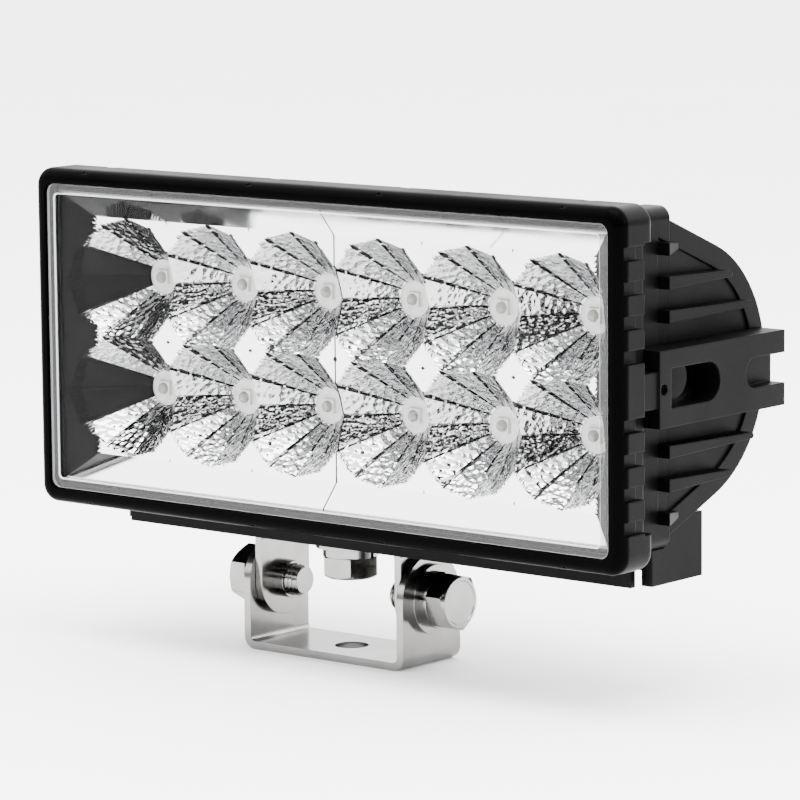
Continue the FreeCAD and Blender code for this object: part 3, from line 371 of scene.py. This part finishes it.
def reflector_cell(bm, side, row, column):
    """The polar mesh round one cup, out to the borders of its cell."""
    cx, cz = side * (column + 0.5) * PITCH_X, row * PITCH_Z / 2
    x_low = SEAM if column == 0 else column * PITCH_X
    x_high = OUTER_X if column == 2 else (column + 1) * PITCH_X
    start = CUP_THROAT * 0.95
    lines = []
    for k in range(RAYS):
        turn = 2 * math.pi * k / RAYS
        dx, dz = math.cos(turn), math.sin(turn)
        room_x = (x_high - abs(cx)) if dx * side > 0 else (abs(cx) - x_low)
        room_z = (DECK_Z - abs(cz)) if dz * row > 0 else abs(cz)
        far = min(room_x / max(abs(dx), 1e-6), room_z / max(abs(dz), 1e-6))
        line = []
        for reach in ring_places(start, far, cx, dx, dz):
            x, z = cx + dx * reach, cz + dz * reach
            line.append(bm.verts.new(lamp(x, surface_depth(x, z)[0], z)))
        lines.append(line)
    for k, line in enumerate(lines):
        other = lines[(k + 1) % RAYS]
        for j in range(RINGS):
            face = bm.faces.new((line[j], line[j + 1], other[j + 1], other[j]))
            middle = face.calc_center_median()
            x, z = (middle.x - LAMP_X) / MM, (middle.z - LAMP_Z) / MM
            face.material_index = finish_at(side, column, k, j, x, z, (cx, cz))
        if column == 0:
            seam_edge(bm, line[-1], other[-1])


def finish_at(side, column, ray, ring, x, z, centre):
    """Which finish a face has: the end walls and the outward facets of the end cups get a painted dark
    reflection, and dashes along facet edges get painted crease shade.
    """
    if not surface_depth(x, z)[1]:
        # the end walls beyond the deck get a painted dark reflection
        return DARK if abs(x) > DECK_X else MIRROR_DECK
    outward = math.atan2(z - centre[1], side * (x - centre[0]))
    # the end cups' outward facets get a painted dark reflection
    if column == 2 and abs(outward) < END_FACETS:
        return DARK
    # dashes along the facet creases get painted crease shade and painted dark reflection streaks
    beside = ray % RAYS_PER_FACET
    edge = beside == 0 or (beside == RAYS_PER_FACET - 1 and ring < WIDE_EDGE_RINGS)
    dashed = (ring + ray) % (DASH + DASH_GAP) < DASH
    return DARK if edge and dashed else MIRROR_CUP


def seam_edge(bm, one, other):
    """The moulding's edge, seen in the gap between the two reflectors, painted near-black as painted shade
    in the gap.
    """
    if max(abs(v.co.x - LAMP_X) for v in (one, other)) > (SEAM + 0.01) * MM:
        return
    back = [bm.verts.new(v.co + Vector((0, SEAM_EDGE * MM, 0))) for v in (other, one)]
    bm.faces.new((one, other, *back)).material_index = DARK


def long_wall(bm, side, row):
    """The slanted wall above or below the deck, its rim, and the end wall's corner beside it."""
    def at(x, z, y):
        return bm.verts.new(lamp(side * x, y, row * z))

    deck, rim, outer = (DECK_X, DECK_Z, 0.0), (RIM_X, RIM_Z, RIM_DEPTH), (OUTER_X, OUTER_Z, RIM_DEPTH)
    faces = (
        (MIRROR_DECK, (SEAM, DECK_Z, 0.0), deck, rim, (SEAM, RIM_Z, RIM_DEPTH)),
        (MIRROR_DECK, (SEAM, RIM_Z, RIM_DEPTH), rim, outer, (SEAM, OUTER_Z, RIM_DEPTH)),
        # the end wall's corner gets a painted dark reflection
        (DARK, deck, (RIM_X, DECK_Z, RIM_DEPTH), rim),
        (DARK, (RIM_X, DECK_Z, RIM_DEPTH), (OUTER_X, DECK_Z, RIM_DEPTH), outer, rim),
    )
    for finish, *corners in faces:
        bm.faces.new([at(*corner) for corner in corners]).material_index = finish


def make_reflector(side):
    bm = bmesh.new()
    for row in (-1, 1):
        long_wall(bm, side, row)
        for column in range(3):
            reflector_cell(bm, side, row, column)
    bmesh.ops.recalc_face_normals(bm, faces=bm.faces)
    make_piece(bm, REFLECTORS[side] + "_faceted", "lamp", REFLECTORS[side], "metallised",
               MIRROR, MIRROR_FLAT, PAINTED_SHADE_AND_REFLECTION)


# ---- clear cover -------------------------------------------------------------------------------

CORNER_STEPS = 6


def rounded_loop(bm, width, height, corner, y):
    """A loop of points round a rectangle with round corners, in the lamp's frame."""
    points = []
    for quarter, (sx, sz) in enumerate(((1, 1), (-1, 1), (-1, -1), (1, -1))):
        cx, cz = sx * (width / 2 - corner), sz * (height / 2 - corner)
        for k in range(CORNER_STEPS + 1):
            turn = math.pi / 2 * (quarter + k / CORNER_STEPS)
            place = lamp(cx + corner * math.cos(turn), y, cz + corner * math.sin(turn))
            points.append(bm.verts.new(place))
    return points


def make_cover():
    """The cover: a skirt that the bezel clamps, a raised face and a shallow step inside its border, with
    pale bands on its rim and step edges as a painted highlight.
    """
    low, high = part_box("lens")
    front, rear = (low.y - DECK_Y) / MM, (high.y - DECK_Y) / MM
    # the rim finish is a painted highlight on the cover's edges
    pane, border, rim = 0, 1, 2
    # each step: width, height, corner radius, depth, and the finish of the band that ends there
    steps = (
        (169.2, 71.4, 1.2, rear - 0.5, None),
        (170.4, 72.6, 1.6, rear, border),
        (176.0, 79.2, 2.8, rear, border),
        (176.0, 79.2, 2.8, rear - 1.4, border),
        (174.3, 76.3, 2.4, rear - 1.4, border),
        (174.3, 76.3, 2.4, front + 0.4, rim),
        (173.8, 75.8, 2.2, front, rim),
        (169.6, 71.8, 1.3, front, border),
        (168.9, 71.1, 1.1, front + 0.3, rim),
    )
    bm = bmesh.new()
    loops = [rounded_loop(bm, *step[:4]) for step in steps]
    for one, other, step in zip(loops, loops[1:], steps[1:]):
        bridge(bm, one, other, step[4])
    bm.faces.new(loops[0]).material_index = pane
    bm.faces.new(loops[-1]).material_index = pane
    bmesh.ops.recalc_face_normals(bm, faces=bm.faces)
    make_piece(bm, "moulded_cover", "lamp", "lens", "clear_cover", COVER, COVER_BORDER, COVER_RIM_HIGHLIGHT)


# ---- bolts -------------------------------------------------------------------------------------

BOLT_R, THREAD_DEPTH, THREAD_PITCH = 3.95, 0.55, 1.25
HEAD_FLATS, HEAD_TALL, HEAD_FACE_R = 13.0, 5.3, 6.11
HEAD_CONE_R = 14.3
TURN_STEPS = 72
THREAD_STEPS = 9
TIP_TALL, TIP_CUT = 0.8, 0.7
SIDE_BOLT_LENGTH = 14.3
SIDE_BOLT_SPINS = {1: 15, -1: 0}
CLAMP_BOLT_SPIN = 9
FLATS_TOP = 3.9
CHAMFER_START, CHAMFER_STEP, CHAMFER_RINGS = 4.2, 0.22, 5
FACE_RIM_R, FACE_DISH_R, FACE_CENTRE_R, FACE_DISH = 5.5, 5.2, 1.5, 0.12
X_AXIS, Y_AXIS, Z_AXIS = Vector((1, 0, 0)), Vector((0, 1, 0)), Vector((0, 0, 1))


def head_radius(turn, up):
    """The head's radius at a turn and a height over its seat: a hexagon chamfered by a cone."""
    off = turn % (math.pi / 3) - math.pi / 6
    hexagon = HEAD_FLATS / 2 / math.cos(off)
    dressing = HEAD_CONE_R + (HEAD_FACE_R - HEAD_CONE_R) * up / HEAD_TALL
    return min(hexagon, dressing)


def thread_radius(turn, along, length):
    """The shank's radius at a distance from the head, with a cut thread and a chamfered tip."""
    phase = (along / THREAD_PITCH - turn / (2 * math.pi)) % 1.0
    groove = THREAD_DEPTH * max(0.0, 1.0 - abs(2 * phase - 1.0) * 1.15)
    tip = BOLT_R - TIP_CUT * max(0.0, 1.0 - (length - along) / TIP_TALL)
    return min(BOLT_R - groove, tip)


def add_bolt(bm, seat, outward, corner_dir, length):
    """One bolt: seat is where the head starts, outward the way the head faces."""
    across = outward.cross(corner_dir)
    turns = [2 * math.pi * k / TURN_STEPS for k in range(TURN_STEPS)]
    rays = [corner_dir * math.cos(turn) + across * math.sin(turn) for turn in turns]

    def ring(up, radii):
        centre = seat + outward * up * MM
        return [bm.verts.new(centre + ray * radius * MM) for ray, radius in zip(rays, radii)]

    rows = int(length / THREAD_PITCH * THREAD_STEPS)
    depths = [length * k / rows for k in range(rows, -1, -1)]
    shank = [ring(-depth, [thread_radius(turn, depth, length) for turn in turns]) for depth in depths]
    chamfer = [CHAMFER_START + CHAMFER_STEP * k for k in range(CHAMFER_RINGS)]
    heights = [0.0, FLATS_TOP, *chamfer, HEAD_TALL]
    head = [ring(up, [head_radius(turn, up) for turn in turns]) for up in heights]
    dish = HEAD_TALL - FACE_DISH
    face = [ring(up, [radius] * TURN_STEPS)
            for up, radius in ((HEAD_TALL, FACE_RIM_R), (dish, FACE_DISH_R), (dish, FACE_CENTRE_R))]
    loops = shank + head + face
    for one, other in zip(loops, loops[1:]):
        bridge(bm, one, other)
    bm.faces.new(loops[0])
    bm.faces.new(loops[-1])


def turned(degrees, first, second):
    """The direction part of the way round from first to second."""
    angle = math.radians(degrees)
    return first * math.cos(angle) + second * math.sin(angle)


def make_side_bolts():
    low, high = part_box("side_bolts")
    level = (low.z + high.z) / 2
    bm = bmesh.new()
    for side, reach in ((1, high.x), (-1, low.x)):
        seat = Vector((reach - side * HEAD_TALL * MM, 0, level))
        corner = turned(SIDE_BOLT_SPINS[side], -Z_AXIS * side, Y_AXIS)
        add_bolt(bm, seat, X_AXIS * side, corner, SIDE_BOLT_LENGTH)
    bmesh.ops.recalc_face_normals(bm, faces=bm.faces)
    make_piece(bm, "side_bolts_threaded", "base", "side_bolts", "stainless_bolt", BOLT)


def make_clamp_bolt():
    low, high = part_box("clamp_bolt")
    seat = Vector((0, 0, low.z + HEAD_TALL * MM))
    bm = bmesh.new()
    add_bolt(bm, seat, -Z_AXIS, turned(CLAMP_BOLT_SPIN, X_AXIS, Y_AXIS), (high.z - seat.z) / MM)
    bmesh.ops.recalc_face_normals(bm, faces=bm.faces)
    make_piece(bm, "clamp_bolt_threaded", "yoke", "clamp_bolt", "stainless_bolt", BOLT)


for side in REFLECTORS:
    make_reflector(side)
make_cover()
make_side_bolts()
make_clamp_bolt()


# ---- stage -------------------------------------------------------------------------------------

DARK_SIDE = Vector((0.80, -0.60, 0.0))
FLOOR_REACH = 14.0


def make_floor():
    bm = bmesh.new()
    corners = ((-1, -1), (1, -1), (1, 1), (-1, 1))
    bm.faces.new([bm.verts.new((x * FLOOR_REACH, y * FLOOR_REACH, 0.0)) for x, y in corners])
    mesh = bpy.data.meshes.new("floor")
    bm.to_mesh(mesh)
    bm.free()
    floor = bpy.data.objects.new("floor", mesh)
    bpy.context.scene.collection.objects.link(floor)
    made = Nodes("pale_floor")
    tone = made.colours(made.noise(6.0), (0.3, (0.92, 0.92, 0.92)), (0.7, (0.94, 0.94, 0.94)))
    made.set(Roughness=0.8, Specular_IOR_Level=0.1)
    floor.data.materials.append(made.finish(tone))


def area_light(name, place, target, width, height, power):
    data = bpy.data.lights.new(name, "AREA")
    data.shape = "RECTANGLE"
    data.size, data.size_y, data.energy = width, height, power
    light = bpy.data.objects.new(name, data)
    bpy.context.scene.collection.objects.link(light)
    light.location = place
    light.rotation_euler = (Vector(target) - Vector(place)).to_track_quat("-Z", "Y").to_euler()
    return light


OVERHEAD_BANDS = ((0.0, 0.05), (0.14, 0.06), (0.24, 0.9), (1.0, 1.0))
FRONT_BANDS = ((0.0, 0.005), (0.28, 0.005), (0.31, 0.9), (0.38, 0.9), (0.41, 0.01), (0.56, 0.01),
               (0.62, 1.0))
WORLD_STRENGTH = 6.5


def add_bands(tree, height, stops):
    """A grey value for each height above the horizon."""
    node = tree.nodes.new("ShaderNodeValToRGB")
    ramp = node.color_ramp
    while len(ramp.elements) < len(stops):
        ramp.elements.new(0.5)
    for element, (position, value) in zip(ramp.elements, stops):
        element.position = position
        element.color = (value, value, value, 1.0)
    tree.links.new(height, node.inputs[0])
    return node.outputs[0]


def make_world():
    """A white ceiling over a darker horizon, with dark bands on the side that the lamp faces."""
    world = bpy.data.worlds.new("studio")
    world.use_nodes = True
    tree = world.node_tree
    background = tree.nodes["Background"]
    towards = tree.nodes.new("ShaderNodeTexCoord").outputs["Generated"]
    side = tree.nodes.new("ShaderNodeVectorMath")
    side.operation = "DOT_PRODUCT"
    side.inputs[1].default_value = DARK_SIDE
    tree.links.new(towards, side.inputs[0])
    mask = tree.nodes.new("ShaderNodeMapRange")
    mask.inputs["From Min"].default_value = 0.0
    mask.inputs["From Max"].default_value = 0.2
    tree.links.new(side.outputs["Value"], mask.inputs["Value"])
    height = tree.nodes.new("ShaderNodeSeparateXYZ")
    tree.links.new(towards, height.inputs[0])
    mix = tree.nodes.new("ShaderNodeMix")
    mix.data_type = "RGBA"
    tree.links.new(mask.outputs[0], mix.inputs["Factor"])
    tree.links.new(add_bands(tree, height.outputs["Z"], OVERHEAD_BANDS), mix.inputs[6])
    tree.links.new(add_bands(tree, height.outputs["Z"], FRONT_BANDS), mix.inputs[7])
    tree.links.new(mix.outputs[2], background.inputs[0])
    background.inputs[1].default_value = WORLD_STRENGTH
    bpy.context.scene.world = world


def make_lights():
    middle = lamp(0, 0, 0)
    area_light("soft_top", (0.1, -0.2, 1.1), middle, 0.9, 0.7, 30.0)
    area_light("rim_right", (1.1, 0.4, 0.6), middle, 0.3, 0.6, 9.0)


# ---- camera ------------------------------------------------------------------------------------

AZIMUTH, ELEVATION, ROLL = math.radians(39.67), math.radians(8.144), math.radians(-0.521)
DISTANCE, SHIFT_RIGHT, SHIFT_UP = 1061.0, 15.44, -9.70
FOCAL_PIXELS = 4452.7
FRAME_PIXELS = 800.0
SENSOR = 36.0


def make_camera():
    back = Vector((math.sin(AZIMUTH) * math.cos(ELEVATION), -math.cos(AZIMUTH) * math.cos(ELEVATION),
                   math.sin(ELEVATION)))
    right = Vector((math.cos(AZIMUTH), math.sin(AZIMUTH), 0))
    up = back.cross(right)
    rolled_right = math.cos(ROLL) * right + math.sin(ROLL) * up
    rolled_up = -math.sin(ROLL) * right + math.cos(ROLL) * up
    centre = back * DISTANCE + rolled_right * SHIFT_RIGHT + rolled_up * SHIFT_UP
    data = bpy.data.cameras.new("camera")
    data.sensor_width = SENSOR
    data.lens = FOCAL_PIXELS / FRAME_PIXELS * SENSOR
    data.clip_start = 0.01
    camera = bpy.data.objects.new("camera", data)
    bpy.context.scene.collection.objects.link(camera)
    turn = Matrix((rolled_right, rolled_up, back)).transposed().to_4x4()
    camera.matrix_world = Matrix.Translation(lamp(*centre)) @ turn
    bpy.context.scene.camera = camera


make_floor()
make_world()
make_lights()
make_camera()

bpy.context.view_layer.update()
